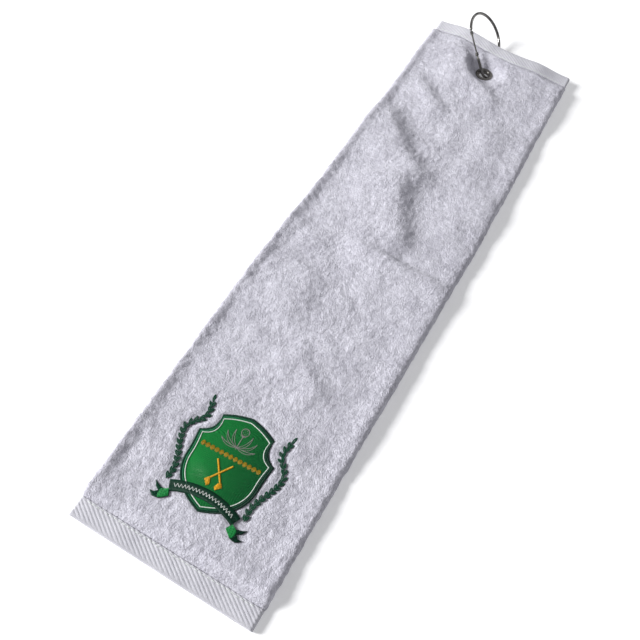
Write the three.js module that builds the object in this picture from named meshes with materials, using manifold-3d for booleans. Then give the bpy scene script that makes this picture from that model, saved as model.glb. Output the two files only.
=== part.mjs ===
// A golf towel: a terry towel folded in three, hemmed at both ends, embroidered with a crest,
// with an eyelet through all three layers and a wire snap hook linked through the eyelet.
//
// Millimetres, +Z up. The towel lies on its back: +Y runs along it to the hook, +X is its right side,
// and the origin is the middle of its underside.
import * as THREE from 'three';
import * as BufferGeometryUtils from 'three/addons/utils/BufferGeometryUtils.js';
import Module from 'manifold-3d';

const wasm = await Module();
wasm.setup();

// The folded towel
const TOWEL_WIDTH = 143;
const TOWEL_LENGTH = 610;
const HALF_LENGTH = TOWEL_LENGTH / 2;
const SHEET_WIDTH = 406;
const HEM_HEIGHT = 15;
const SIDE_HEM_WIDTH = 8;
const GAP = 0.3;

// One layer of terry, and one layer of the flatter hem
const TERRY = { thickness: 2.8, pitch: 3.1, inset: 0 };
const HEM = { thickness: 1.5, pitch: 1.8, inset: 2.5 };
const STACK_HEIGHT = 2 * TERRY.pitch + TERRY.thickness;

// The eyelet
const EYELET_X = -3.4;
const EYELET_Y = HALF_LENGTH - 50.7;
const EYELET_Z = 5.8;
const EYELET_BORE = 5.0;
const EYELET_FLARE = 1.3;
const EYELET_SHEET = 0.4;
const EYELET_RIM = 8.6;
const EYELET_HALF_HEIGHT = 2.3;
const PRESSED_HEIGHT = 3.2;

// How the towel rises over the hook's lower strand: along it, then falling off to each side
const EYELET_LIFT = EYELET_Z - PRESSED_HEIGHT / 2;
const EDGE_LIFT = 9.2;
const RISE_LENGTH = 60;
const RISE_MARGIN = 10;
const EDGE_RISE_START = 12;
const EDGE_RISE_LENGTH = 35;
const SIDE_FALL = { share: 0.65, start: 36, end: 70 };

// How far from the eyelet the layers are pressed flat, and how the stack thins towards each hem
const PRESS_START = 9.5;
const PRESS_END = 26;
const HEM_PRESS = { share: 0.25, start: HALF_LENGTH - 23, end: HALF_LENGTH - HEM_HEIGHT };

// The hook: a pear-shaped ring of wire
const WIRE_RADIUS = 1.3;
const HOOK_LENGTH = 69;
const HOOK_TOP_RADIUS = 23.5;
const HOOK_END_RADIUS = 6.7;
const HOOK_YAW = THREE.MathUtils.degToRad(30);
const HOOK_PITCH = THREE.MathUtils.degToRad(21);
const HOOK_ROLL = THREE.MathUtils.degToRad(36);
const HOOK_SEAT_ANGLE = THREE.MathUtils.degToRad(-33);
const GATE_START = 20;
const GATE_END = 42;

// The gate: a slim rod, forked round a flat eye at its pivot and round a flat tongue at the wire's nose
const GATE_ROD_RADIUS = 0.8;
const TONGUE_HALF_THICKNESS = 0.4;
const TONGUE_HALF_WIDTH = 0.6;
const TONGUE_REACH = 2.2;
const EYE_RADIUS = 1.1;
const EYE_REACH = 2.3;
const FORK_WALL = 0.35;
const FORK_SLOT = TONGUE_HALF_THICKNESS + GAP;
const FORK_HALF_WIDTH = FORK_SLOT + FORK_WALL;
const FORK_LENGTH = 3.6;
const RIVET_RADIUS = 0.4;
const RIVET_HOLE_RADIUS = RIVET_RADIUS + 0.25;
const RIVET_HEAD = { radius: 0.8, thickness: 0.3, gap: 0.2 };

// The embroidery, in layers of thread above the pile, turned a little on the towel
const CREST_X = -0.5;
const CREST_Y = -HALF_LENGTH + 84;
const CREST_TURN = THREE.MathUtils.degToRad(2);
const BACKING_WIDTH = 88;
const BACKING_LENGTH = 98;
const THREAD_HEIGHT = 0.5;
const BASE_LEVEL = STACK_HEIGHT + GAP;
const SECOND_LEVEL = BASE_LEVEL + THREAD_HEIGHT + GAP;
const THIRD_LEVEL = SECOND_LEVEL + THREAD_HEIGHT + GAP;
const FOURTH_LEVEL = THIRD_LEVEL + THREAD_HEIGHT + GAP;
const BORDER_WIDTH = 3;
const LINE_WIDTH = 0.9;
const LINE_MARGIN = 0.5;
const SILVER_ROOT = [0, 12.5];
const SILVER_PLUMES = [
  { bend: [7, 15.5], tip: [7, 24.5] },
  { bend: [9.5, 13], tip: [12, 21] },
  { bend: [8.5, 10.2], tip: [13.8, 14.8] },
];
const PLUME = { steps: 8, halfWidth: 0.9 };
const BALL = { y: 25.4, radius: 3.3 };
const TEE = { halfWidth: 0.6, low: 10.6 };
const BEADS = { count: 13, spacing: 3.8, halfWidth: 1.5, halfHeight: 1.7, y: 4.4, barHalfHeight: 0.4 };
const CLUBS = { x: -1, y: -9.5, lean: Math.PI / 2 + 0.62, halfLength: 10, halfWidth: 0.8 };
const RIBBON = { top: -23.1, radius: 64, height: 8.2, halfAngle: 0.46 };
const RIBBON_STITCHES = { inset: 3.4, height: 1.4, halfAngle: 0.4 };
const LAUREL_STEM = [
  [31.5, -30.5], [31, -22], [33.5, -13], [37.5, -4], [40.6, 6.5], [38.2, 13.8], [33.2, 19.8], [31.6, 25.5],
  [33.2, 34],
];
const LAUREL_STEPS = 30;
const LAUREL_LEAF = { length: 5.4, width: 2.5, spread: 0.66 };
const STEM_HALF_WIDTH = 0.45;

const MATERIALS = {
  terry: new THREE.MeshStandardMaterial({ color: 0xdcd9e6, roughness: 1.0, metalness: 0 }),
  hem: new THREE.MeshStandardMaterial({ color: 0xd8d6e0, roughness: 0.9, metalness: 0 }),
  whiteThread: new THREE.MeshStandardMaterial({ color: 0xf0f2ee, roughness: 0.5, metalness: 0 }),
  backing: new THREE.MeshStandardMaterial({ color: 0xf4f4f2, roughness: 0.9, metalness: 0 }),
  greenThread: new THREE.MeshStandardMaterial({ color: 0x11803f, roughness: 0.45, metalness: 0 }),
  darkGreenThread: new THREE.MeshStandardMaterial({ color: 0x0a4a2a, roughness: 0.45, metalness: 0 }),
  silverThread: new THREE.MeshStandardMaterial({ color: 0xb9b4b4, roughness: 0.4, metalness: 0 }),
  goldThread: new THREE.MeshStandardMaterial({ color: 0xd9a92c, roughness: 0.4, metalness: 0 }),
  nickel: new THREE.MeshStandardMaterial({ color: 0xb8b6b2, roughness: 0.22, metalness: 1 }),
  darkNickel: new THREE.MeshStandardMaterial({ color: 0x6a6763, roughness: 0.3, metalness: 1 }),
};

const towel = new THREE.Group();

function addMesh(parent, name, geometry, material) {
  const mesh = new THREE.Mesh(geometry, material);
  mesh.name = name;
  parent.add(mesh);
  return mesh;
}

function smoothstep(value, from, to) {
  return THREE.MathUtils.smoothstep(value, from, to);
}

// Booleans

function toSolid(geometry) {
  let plain = geometry.clone();
  plain.deleteAttribute('normal');
  plain.deleteAttribute('uv');
  plain = BufferGeometryUtils.mergeVertices(plain, 1e-4);
  return new wasm.Manifold(new wasm.Mesh({
    numProp: 3,
    vertProperties: new Float32Array(plain.attributes.position.array),
    triVerts: new Uint32Array(plain.index.array),
  }));
}

function toGeometry(solid) {
  const mesh = solid.getMesh();
  const geometry = new THREE.BufferGeometry();
  geometry.setAttribute('position', new THREE.BufferAttribute(mesh.vertProperties, 3));
  geometry.setIndex(new THREE.BufferAttribute(mesh.triVerts, 1));
  geometry.computeVertexNormals();
  return geometry;
}

function cut(geometry, ...tools) {
  return toGeometry(tools.reduce((solid, tool) => solid.subtract(toSolid(tool)), toSolid(geometry)));
}

function join(...geometries) {
  return toGeometry(geometries.map(toSolid).reduce((whole, solid) => whole.add(solid)));
}

// The towel's cloth. A point of a flat stack of layers, at height h, lies on the real towel at
// lift + h * press.

function lift(x, y) {
  const toEyelet = EYELET_LIFT * smoothstep(y, EYELET_Y - RISE_LENGTH, EYELET_Y - RISE_MARGIN);
  const pastEyelet = (y - EYELET_Y - EDGE_RISE_START) / EDGE_RISE_LENGTH;
  const toEdge = (EDGE_LIFT - EYELET_LIFT) * THREE.MathUtils.clamp(pastEyelet, 0, 1);
  const fall = SIDE_FALL.share * smoothstep(Math.abs(x - EYELET_X), SIDE_FALL.start, SIDE_FALL.end);
  return (toEyelet + toEdge) * (1 - fall);
}

function press(x, y) {
  const fromEyelet = Math.max(Math.abs(x - EYELET_X), Math.abs(y - EYELET_Y));
  const recovered = smoothstep(fromEyelet, PRESS_START, PRESS_END);
  const nearEyelet = THREE.MathUtils.lerp(PRESSED_HEIGHT / STACK_HEIGHT, 1, recovered);
  const nearHem = HEM_PRESS.share * smoothstep(Math.abs(y), HEM_PRESS.start, HEM_PRESS.end);
  return nearEyelet * (1 - nearHem);
}

function unpressed() {
  return 1;
}

// Lines across the towel where its surface may bend, closer together round the eyelet
const AROUND_EYELET = [-PRESS_END, -17, -PRESS_START, 0, PRESS_START, 17, PRESS_END];
const BEND_X = [-58, -42, 34, 48, 60].concat(AROUND_EYELET.map((d) => EYELET_X + d));
const BEND_Y = [-282, 0, 198, 215].concat(AROUND_EYELET.map((d) => EYELET_Y + d));

function between(lines, low, high) {
  const inside = lines.filter((line) => line > low + 2 && line < high - 2);
  return [low, ...inside.sort((a, b) => a - b), high];
}

// The centre line of the folded sheet across its width, as the places where each layer starts and ends.
// The back flap joins the front panel by the right fold, and the middle flap by the left fold.
function foldPlan(layer) {
  const right = TOWEL_WIDTH / 2 - layer.inset - layer.pitch - layer.thickness / 2;
  const left = TOWEL_WIDTH / 2 - layer.inset - layer.pitch / 2 - layer.thickness / 2;
  const terryFolds = Math.PI * (TERRY.pitch + TERRY.pitch / 2);
  const flap = (SHEET_WIDTH - TOWEL_WIDTH - terryFolds) / 2 + 4;
  return { right, left: -left, backEdge: right - flap, middleEdge: flap - left };
}

function arc(centreX, centreH, radius, fromAngle, toAngle, steps) {
  const points = [];
  for (let i = 0; i <= steps; i += 1) {
    const angle = fromAngle + ((toAngle - fromAngle) * i) / steps;
    points.push([centreX + radius * Math.cos(angle), centreH + radius * Math.sin(angle)]);
  }
  return points;
}

// The closed outline, anticlockwise, of the folded sheet seen along +Y's opposite
function foldedSection(layer, hemmedEdge) {
  const plan = foldPlan(layer);
  const half = layer.thickness / 2;
  const level = (n) => half + n * layer.pitch;
  const backEdge = plan.backEdge + hemmedEdge;
  const middleEdge = plan.middleEdge - hemmedEdge;
  const along = (from, to, h) => {
    const line = between(BEND_X, Math.min(from, to), Math.max(from, to)).map((x) => [x, h]);
    return from < to ? line : line.reverse();
  };
  const quarter = Math.PI / 2;
  return [
    ...along(backEdge, plan.right, level(0) - half),
    ...arc(plan.right, level(1), layer.pitch + half, -quarter, quarter, 10).slice(1, -1),
    ...along(plan.right, plan.left, level(2) + half),
    ...arc(plan.left, level(1.5), layer.pitch / 2 + half, quarter, 3 * quarter, 8).slice(1, -1),
    ...along(plan.left, middleEdge, level(1) - half),
    ...along(middleEdge, plan.left, level(1) + half),
    ...arc(plan.left, level(1.5), layer.pitch / 2 - half, 3 * quarter, quarter, 4).slice(1, -1),
    ...along(plan.left, plan.right, level(2) - half),
    ...arc(plan.right, level(1), layer.pitch - half, quarter, -quarter, 8).slice(1, -1),
    ...along(plan.right, backEdge, level(0) + half),
  ];
}

// A solid with one section all along Y, whose heights follow lift and press
function sweepAlongTowel(section, yLines, pressAt) {
  const count = section.length;
  const positions = [];
  for (const y of yLines) {
    for (const [x, h] of section) {
      positions.push(x, y, lift(x, y) + h * pressAt(x, y));
    }
  }
  const index = [];
  for (let row = 0; row + 1 < yLines.length; row += 1) {
    for (let i = 0; i < count; i += 1) {
      const a = row * count + i;
      const b = row * count + ((i + 1) % count);
      index.push(a, b, b + count, a, b + count, a + count);
    }
  }
  const lastRow = (yLines.length - 1) * count;
  const capOutline = (row) => section.map((_, i) => {
    const at = 3 * (row + i);
    return new THREE.Vector2(positions[at], positions[at + 2]);
  });
  for (const [a, b, c] of THREE.ShapeUtils.triangulateShape(capOutline(0), [])) {
    index.push(a, c, b);
  }
  for (const [a, b, c] of THREE.ShapeUtils.triangulateShape(capOutline(lastRow), [])) {
    index.push(lastRow + a, lastRow + b, lastRow + c);
  }
  const geometry = new THREE.BufferGeometry();
  geometry.setAttribute('position', new THREE.BufferAttribute(new Float32Array(positions), 3));
  geometry.setIndex(index.reverse());
  geometry.computeVertexNormals();
  return geometry;
}

function flatSection(fromX, toX, lowH, highH) {
  const line = between(BEND_X, fromX, toX);
  return [...line.map((x) => [x, lowH]), ...line.reverse().map((x) => [x, highH])];
}

function eyeletHole(radius) {
  const tool = new THREE.CylinderGeometry(radius, radius, 40, 24);
  tool.rotateX(Math.PI / 2);
  tool.translate(EYELET_X, EYELET_Y, 0);
  return tool;
}

function backingPocket(margin, low, high) {
  const tool = new THREE.BoxGeometry(BACKING_WIDTH + 2 * margin, BACKING_LENGTH + 2 * margin, high - low);
  tool.translate(CREST_X, CREST_Y, (low + high) / 2);
  return tool;
}

function makeCloth() {
  const terryEnd = HALF_LENGTH - HEM_HEIGHT - GAP;
  const section = foldedSection(TERRY, SIDE_HEM_WIDTH + GAP);
  const terry = sweepAlongTowel(section, between(BEND_Y, -terryEnd, terryEnd), press);
  const frontUnderside = 2 * TERRY.pitch;
  const pocket = backingPocket(GAP, frontUnderside - GAP / 2, frontUnderside + 3 * GAP);
  const holeRadius = EYELET_BORE + EYELET_FLARE + 0.1;
  addMesh(towel, 'terry_cloth', cut(terry, eyeletHole(holeRadius), pocket), MATERIALS.terry);
  const backing = backingPocket(0, frontUnderside + GAP, frontUnderside + 2 * GAP);
  addMesh(towel, 'embroidery_backing', backing, MATERIALS.backing);

  const hemSection = foldedSection(HEM, 0);
  const hemInner = HALF_LENGTH - HEM_HEIGHT;
  const hemTop = 2 * HEM.pitch + HEM.thickness;
  const stitchY = hemInner + 1.4;
  for (const [end, side] of [['top', 1], ['bottom', -1]]) {
    const ys = [side * hemInner, side * HALF_LENGTH].sort((a, b) => a - b);
    addMesh(towel, `${end}_hem`, sweepAlongTowel(hemSection, ys, unpressed), MATERIALS.hem);
    const thread = flatSection(-64, 62, hemTop + GAP, hemTop + 2 * GAP);
    const threadYs = [side * stitchY - 0.3, side * stitchY + 0.3];
    const stitching = sweepAlongTowel(thread, threadYs, unpressed);
    addMesh(towel, `${end}_hem_stitching`, stitching, MATERIALS.whiteThread);
  }

  const plan = foldPlan(TERRY);
  const ys = between(BEND_Y, -terryEnd, terryEnd);
  const sideHems = [
    ['back_flap_hem', plan.backEdge, plan.backEdge + SIDE_HEM_WIDTH, 0],
    ['middle_flap_hem', plan.middleEdge - SIDE_HEM_WIDTH, plan.middleEdge, TERRY.pitch],
  ];
  for (const [name, fromX, toX, low] of sideHems) {
    const strip = flatSection(fromX, toX, low, low + TERRY.thickness);
    addMesh(towel, name, sweepAlongTowel(strip, ys, press), MATERIALS.hem);
  }
}

// The eyelet and the washer that it is clenched over

function makeEyelet() {
  const crestRadius = EYELET_BORE + EYELET_FLARE;
  const straight = EYELET_HALF_HEIGHT - EYELET_FLARE;
  const half = Math.PI / 2;
  const outerFlare = EYELET_FLARE - EYELET_SHEET;
  const top = EYELET_HALF_HEIGHT;
  const clench = crestRadius + 0.35;
  const profile = [
    ...arc(crestRadius, straight, EYELET_FLARE, Math.PI, half, 4),
    [EYELET_RIM - 0.3, top - 0.08],
    [EYELET_RIM, top - EYELET_SHEET],
    ...arc(crestRadius, straight, outerFlare, half, Math.PI, 3),
    ...arc(crestRadius, -straight, outerFlare, Math.PI, 3 * half, 3),
    [clench, -top + EYELET_SHEET],
    [clench, -top],
    ...arc(crestRadius, -straight, EYELET_FLARE, 3 * half, Math.PI, 4),
  ];
  const washerProfile = [
    [clench + GAP, -top],
    [EYELET_RIM, -top],
    [EYELET_RIM, -top + EYELET_SHEET],
    [clench + GAP, -top + EYELET_SHEET],
  ];
  const pieces = [['eyelet', profile.reverse()], ['eyelet_washer', washerProfile]];
  for (const [name, points] of pieces) {
    const closed = [...points, points[0]].map(([r, z]) => new THREE.Vector2(r, z));
    const ring = new THREE.LatheGeometry(closed, 28);
    ring.rotateX(Math.PI / 2);
    const mesh = addMesh(towel, name, ring, MATERIALS.darkNickel);
    mesh.position.set(EYELET_X, EYELET_Y, EYELET_Z);
  }
}

// The hook. In its own plane, x is across the ring and y runs from the seat in the eyelet to the far end.

const ringSpan = HOOK_LENGTH - HOOK_TOP_RADIUS - HOOK_END_RADIUS;
const taper = Math.asin((HOOK_TOP_RADIUS - HOOK_END_RADIUS) / ringSpan);
const topCentre = HOOK_END_RADIUS + ringSpan;

// The gate side is straight from the pivot to the nose, the other side is a pear's
const pivot = (() => {
  const x = -HOOK_END_RADIUS * Math.cos(taper);
  const y = HOOK_END_RADIUS - HOOK_END_RADIUS * Math.sin(taper);
  return new THREE.Vector2(x - (GATE_START - y) * Math.tan(taper), GATE_START);
})();
const noseAngle = Math.PI - Math.asin((GATE_END - topCentre) / HOOK_TOP_RADIUS);
const nose = new THREE.Vector2(
  HOOK_TOP_RADIUS * Math.cos(noseAngle),
  topCentre + HOOK_TOP_RADIUS * Math.sin(noseAngle),
);
const gateDirection = nose.clone().sub(pivot).normalize();
const gateLength = nose.distanceTo(pivot);
const gateTurn = Math.atan2(-gateDirection.x, gateDirection.y);

function wireGeometry() {
  const points = [
    ...arc(0, topCentre, HOOK_TOP_RADIUS, noseAngle - 0.1, -taper, 24),
    ...arc(0, HOOK_END_RADIUS, HOOK_END_RADIUS, -taper, -Math.PI + taper, 12),
    [pivot.x - gateDirection.x * EYE_REACH, pivot.y - gateDirection.y * EYE_REACH],
  ];
  const path = new THREE.CatmullRomCurve3(points.map(([x, y]) => new THREE.Vector3(x, y, 0)));
  const section = new THREE.Shape();
  section.absarc(0, 0, WIRE_RADIUS, 0, 2 * Math.PI);
  return new THREE.ExtrudeGeometry(section, { steps: 64, extrudePath: path, curveSegments: 6 });
}

// A flat plate in the ring's plane, along the gate's line
function gatePlate(fromAlong, toAlong, fromSide, toSide, low, high) {
  const plate = new THREE.BoxGeometry(toSide - fromSide, toAlong - fromAlong, high - low);
  plate.translate((fromSide + toSide) / 2, (fromAlong + toAlong) / 2, (low + high) / 2);
  return plate;
}

function gateDisc(radius, low, high, sides = 24) {
  const disc = new THREE.CylinderGeometry(radius, radius, high - low, sides);
  disc.rotateX(Math.PI / 2);
  disc.translate(0, 0, (low + high) / 2);
  return disc;
}

function placeOnGateLine(geometry) {
  geometry.rotateZ(gateTurn);
  geometry.translate(pivot.x, pivot.y, 0);
  return geometry;
}

function makeHook() {
  const hook = new THREE.Group();
  const seat = new THREE.Group();
  hook.rotation.set(HOOK_PITCH, HOOK_ROLL, HOOK_YAW, 'ZXY');
  hook.position.set(EYELET_X, EYELET_Y, EYELET_Z);
  seat.position.set(
    -HOOK_END_RADIUS * Math.sin(HOOK_SEAT_ANGLE),
    -HOOK_END_RADIUS * (1 - Math.cos(HOOK_SEAT_ANGLE)),
    0,
  );
  hook.add(seat);
  towel.add(hook);

  const flat = TONGUE_HALF_THICKNESS;
  const eye = gateDisc(EYE_RADIUS, -flat, flat);
  const neck = gatePlate(-EYE_REACH - 1, 0, -EYE_RADIUS, EYE_RADIUS, -flat, flat);
  const tongue = gatePlate(
    gateLength - TONGUE_REACH, gateLength + 3, -TONGUE_HALF_WIDTH, TONGUE_HALF_WIDTH, -flat, flat,
  );
  const flats = [eye, neck, tongue].map(placeOnGateLine);
  const rivetHole = placeOnGateLine(gateDisc(RIVET_HOLE_RADIUS, -4, 4));
  addMesh(seat, 'hook_wire', cut(join(wireGeometry(), ...flats), rivetHole), MATERIALS.nickel);

  const webInner = TONGUE_HALF_WIDTH + GAP;
  const half = FORK_HALF_WIDTH;
  const rodLength = gateLength - FORK_LENGTH;
  const rod = new THREE.CylinderGeometry(GATE_ROD_RADIUS, GATE_ROD_RADIUS, rodLength, 12);
  rod.translate(0, rodLength / 2 + 1.5, 0);
  const pivotFork = join(
    gateDisc(EYE_RADIUS, -half, half),
    gatePlate(0, FORK_LENGTH - 1.2, -EYE_RADIUS, EYE_RADIUS, -half, half),
  );
  const noseFork = gatePlate(
    gateLength - FORK_LENGTH, gateLength - 0.2, -webInner, webInner + FORK_WALL, -half, half,
  );
  const pivotSlot = gatePlate(-3, EYE_RADIUS + GAP, -3, 3, -FORK_SLOT, FORK_SLOT);
  const noseSlot = gatePlate(
    gateLength - TONGUE_REACH - GAP, gateLength + 1, -3, webInner, -FORK_SLOT, FORK_SLOT,
  );
  const holes = [pivotSlot, noseSlot, gateDisc(RIVET_HOLE_RADIUS, -4, 4)];
  const gate = cut(join(rod, pivotFork, noseFork), ...holes);
  addMesh(seat, 'gate', placeOnGateLine(gate), MATERIALS.nickel);

  const headLow = FORK_HALF_WIDTH + RIVET_HEAD.gap;
  const headHigh = headLow + RIVET_HEAD.thickness;
  const rivet = join(
    gateDisc(RIVET_RADIUS, -headHigh, headHigh, 16),
    gateDisc(RIVET_HEAD.radius, headLow, headHigh, 16),
    gateDisc(RIVET_HEAD.radius, -headHigh, -headLow, 16),
  );
  addMesh(seat, 'gate_rivet', placeOnGateLine(rivet), MATERIALS.nickel);
}

// The crest

function crestSolid(shape, level) {
  const geometry = new THREE.ExtrudeGeometry(shape, {
    depth: THREAD_HEIGHT,
    bevelEnabled: false,
    curveSegments: 8,
  });
  geometry.rotateZ(CREST_TURN);
  geometry.translate(CREST_X, CREST_Y, level);
  return geometry;
}

function mirrored(points) {
  return points.slice().reverse().map(([x, y]) => [-x, y]);
}

// The shield, from half of it: an arched top to the ear, a scallop, the side, then the lower tip
function shieldOutline() {
  const half = new THREE.Path();
  half.moveTo(0, 37.6);
  half.quadraticCurveTo(11.5, 35.8, 21.5, 30.1);
  half.quadraticCurveTo(19.5, 17, 31.2, 12.2);
  half.quadraticCurveTo(29.6, 0, 29.6, -8);
  half.quadraticCurveTo(29, -25.5, 12, -35);
  half.quadraticCurveTo(7, -37.6, 0, -40);
  const right = half.getPoints(5).map((p) => [p.x, p.y]);
  const left = mirrored(right).slice(1, -1);
  return [...right, ...left].reverse();
}

// An outline round the crest's middle, with every point moved towards the middle by a distance
function inset(points, distance) {
  return points.map(([x, y]) => {
    const share = 1 - distance / Math.hypot(x, y);
    return [x * share, y * share];
  });
}

function shapeOf(points, hole) {
  const shape = new THREE.Shape(points.map(([x, y]) => new THREE.Vector2(x, y)));
  if (hole) {
    shape.holes.push(new THREE.Path(hole.map(([x, y]) => new THREE.Vector2(x, y))));
  }
  return shape;
}

function leafOutline(length, width) {
  const points = [];
  for (let i = 0; i < 6; i += 1) {
    const angle = (2 * Math.PI * i) / 6;
    const along = (1 + Math.cos(angle)) / 2;
    points.push([along * length, (width / 2) * Math.sin(angle) * (1 - 0.35 * along)]);
  }
  return points;
}

// A curved plume from the root to its tip, widest near its middle
function plumeOutline({ bend, tip }) {
  const corners = [SILVER_ROOT, bend, tip].map(([x, y]) => new THREE.Vector2(x, y));
  const curve = new THREE.QuadraticBezierCurve(...corners);
  const right = [];
  const left = [];
  for (let i = 0; i < PLUME.steps; i += 1) {
    const share = i / PLUME.steps;
    const { x, y } = curve.getPoint(share);
    const along = curve.getTangent(share);
    const half = PLUME.halfWidth * Math.sin(Math.PI * (0.15 + 0.85 * share));
    right.push([x + along.y * half, y - along.x * half]);
    left.unshift([x - along.y * half, y + along.x * half]);
  }
  return [...right, tip, ...left];
}

function placed(points, x, y, angle) {
  const cos = Math.cos(angle);
  const sin = Math.sin(angle);
  return points.map(([u, v]) => [x + u * cos - v * sin, y + u * sin + v * cos]);
}

// A stem with pairs of leaves all the way up and one leaf at the tip
function laurel(stem) {
  const curve = new THREE.CatmullRomCurve3(stem.map(([x, y]) => new THREE.Vector3(x, y, 0)));
  const path = curve.getSpacedPoints(LAUREL_STEPS).map((p) => [p.x, p.y]);
  const leaf = leafOutline(LAUREL_LEAF.length, LAUREL_LEAF.width);
  const half = STEM_HALF_WIDTH;
  const solids = [];
  for (let i = 0; i + 1 < path.length; i += 1) {
    const [x, y] = path[i];
    const [nextX, nextY] = path[i + 1];
    const angle = Math.atan2(nextY - y, nextX - x);
    const length = Math.hypot(nextX - x, nextY - y) + half;
    solids.push(placed([[-half, -half], [length, -half], [length, half], [-half, half]], x, y, angle));
    if (i % 2 === 1) {
      solids.push(placed(leaf, x, y, angle + LAUREL_LEAF.spread));
      solids.push(placed(leaf, x, y, angle - LAUREL_LEAF.spread));
    }
  }
  const [tipX, tipY] = path[path.length - 1];
  const [lastX, lastY] = path[path.length - 2];
  solids.push(placed(leaf, tipX, tipY, Math.atan2(tipY - lastY, tipX - lastX)));
  return join(...solids.map((points) => crestSolid(shapeOf(points), SECOND_LEVEL)));
}

function ribbonBand(topY, radius, height, halfAngle) {
  const up = Math.PI / 2;
  const outer = arc(0, topY - radius, radius, up - halfAngle, up + halfAngle, 20);
  const inner = arc(0, topY - radius, radius - height, up + halfAngle, up - halfAngle, 20);
  return [...outer, ...inner];
}

// The right tail: it folds back under the ribbon's end and splits into two curled points
function ribbonTail() {
  return [
    [26.8, -37.4],
    [31.2, -37.4],
    [36.8, -34.8],
    [34.4, -38.6],
    [31.6, -40.2],
    [33.8, -42.6],
    [37, -42.6],
    [33.2, -45.6],
    [28.8, -45],
    [24.2, -41.4],
  ].reverse();
}

function makeShield() {
  const outline = shieldOutline();
  const field = inset(outline, BORDER_WIDTH + GAP);
  const border = shapeOf(outline, inset(outline, BORDER_WIDTH));
  addMesh(towel, 'shield_border', crestSolid(border, BASE_LEVEL), MATERIALS.darkGreenThread);
  addMesh(towel, 'shield_field', crestSolid(shapeOf(field), BASE_LEVEL), MATERIALS.greenThread);
  const lineOuter = BORDER_WIDTH + LINE_MARGIN;
  const line = shapeOf(inset(outline, lineOuter), inset(outline, lineOuter + LINE_WIDTH));
  addMesh(towel, 'shield_line', crestSolid(line, SECOND_LEVEL), MATERIALS.whiteThread);
}

function makeMotifs() {
  const second = (outlines) => join(...outlines.map((points) => crestSolid(shapeOf(points), SECOND_LEVEL)));

  const plumes = SILVER_PLUMES.map(plumeOutline);
  const ball = arc(0, BALL.y, BALL.radius, 0, 2 * Math.PI, 20).slice(0, -1);
  const tee = [
    [-TEE.halfWidth, TEE.low],
    [TEE.halfWidth, TEE.low],
    [TEE.halfWidth, BALL.y],
    [-TEE.halfWidth, BALL.y],
  ];
  const silver = [tee, ball, ...plumes, ...plumes.map(mirrored)];
  addMesh(towel, 'silver_ball_and_plumes', second(silver), MATERIALS.silverThread);

  const halfRow = ((BEADS.count - 1) / 2) * BEADS.spacing;
  const barLow = BEADS.y - BEADS.barHalfHeight;
  const barHigh = BEADS.y + BEADS.barHalfHeight;
  const bar = [[-halfRow, barLow], [halfRow, barLow], [halfRow, barHigh], [-halfRow, barHigh]];
  const beads = Array.from({ length: BEADS.count }, (_, i) => {
    const x = i * BEADS.spacing - halfRow;
    const ends = [[x, BEADS.y - BEADS.halfHeight], [x, BEADS.y + BEADS.halfHeight]];
    return [[x - BEADS.halfWidth, BEADS.y], ends[0], [x + BEADS.halfWidth, BEADS.y], ends[1]];
  });
  addMesh(towel, 'gold_bead_row', second([bar, ...beads]), MATERIALS.goldThread);

  const { halfLength, halfWidth } = CLUBS;
  const shaft = [
    [-halfLength, -halfWidth],
    [halfLength, -halfWidth],
    [halfLength, halfWidth],
    [-halfLength, halfWidth],
  ];
  const head = [
    [-halfLength - 1, -1.2],
    [-halfLength + 2, -1.2],
    [-halfLength + 2.6, 1.4],
    [-halfLength + 0.6, 4.6],
    [-halfLength - 2, 4.2],
  ];
  const club = [shaft, head].map((points) => placed(points, 0, 0, CLUBS.lean));
  const clubs = [...club, ...club.map(mirrored)].map((points) => placed(points, CLUBS.x, CLUBS.y, 0));
  addMesh(towel, 'gold_crossed_clubs', second(clubs), MATERIALS.goldThread);
}

function makeRibbon() {
  const { top, radius, height, halfAngle } = RIBBON;
  const banner = ribbonBand(top, radius, height, halfAngle);
  addMesh(towel, 'ribbon_banner', crestSolid(shapeOf(banner), THIRD_LEVEL), MATERIALS.darkGreenThread);
  const { inset: lower, height: stitchHeight, halfAngle: stitchAngle } = RIBBON_STITCHES;
  const stitches = ribbonBand(top - lower, radius - lower, stitchHeight, stitchAngle);
  addMesh(towel, 'ribbon_stitching', crestSolid(shapeOf(stitches), FOURTH_LEVEL), MATERIALS.whiteThread);
  const tail = ribbonTail();
  const left = crestSolid(shapeOf(mirrored(tail)), BASE_LEVEL);
  addMesh(towel, 'ribbon_tail_left', left, MATERIALS.darkGreenThread);
  addMesh(towel, 'ribbon_tail_right', crestSolid(shapeOf(tail), BASE_LEVEL), MATERIALS.darkGreenThread);
}

function makeLaurels() {
  const leftStem = LAUREL_STEM.map(([x, y]) => [-x, y]);
  addMesh(towel, 'laurel_left', laurel(leftStem), MATERIALS.darkGreenThread);
  addMesh(towel, 'laurel_right', laurel(LAUREL_STEM), MATERIALS.darkGreenThread);
}

makeCloth();
makeEyelet();
makeHook();
makeShield();
makeMotifs();
makeRibbon();
makeLaurels();

export default towel;
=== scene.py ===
"""A folded golf towel with an embroidered crest, an eyelet and a snap hook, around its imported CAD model.

Lengths are in millimetres in the model's own frame (+Y to the hook, +Z up) and become metres in
new_piece().
"""

import math

import bpy
import numpy as np
from mathutils import Matrix, Vector


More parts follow.
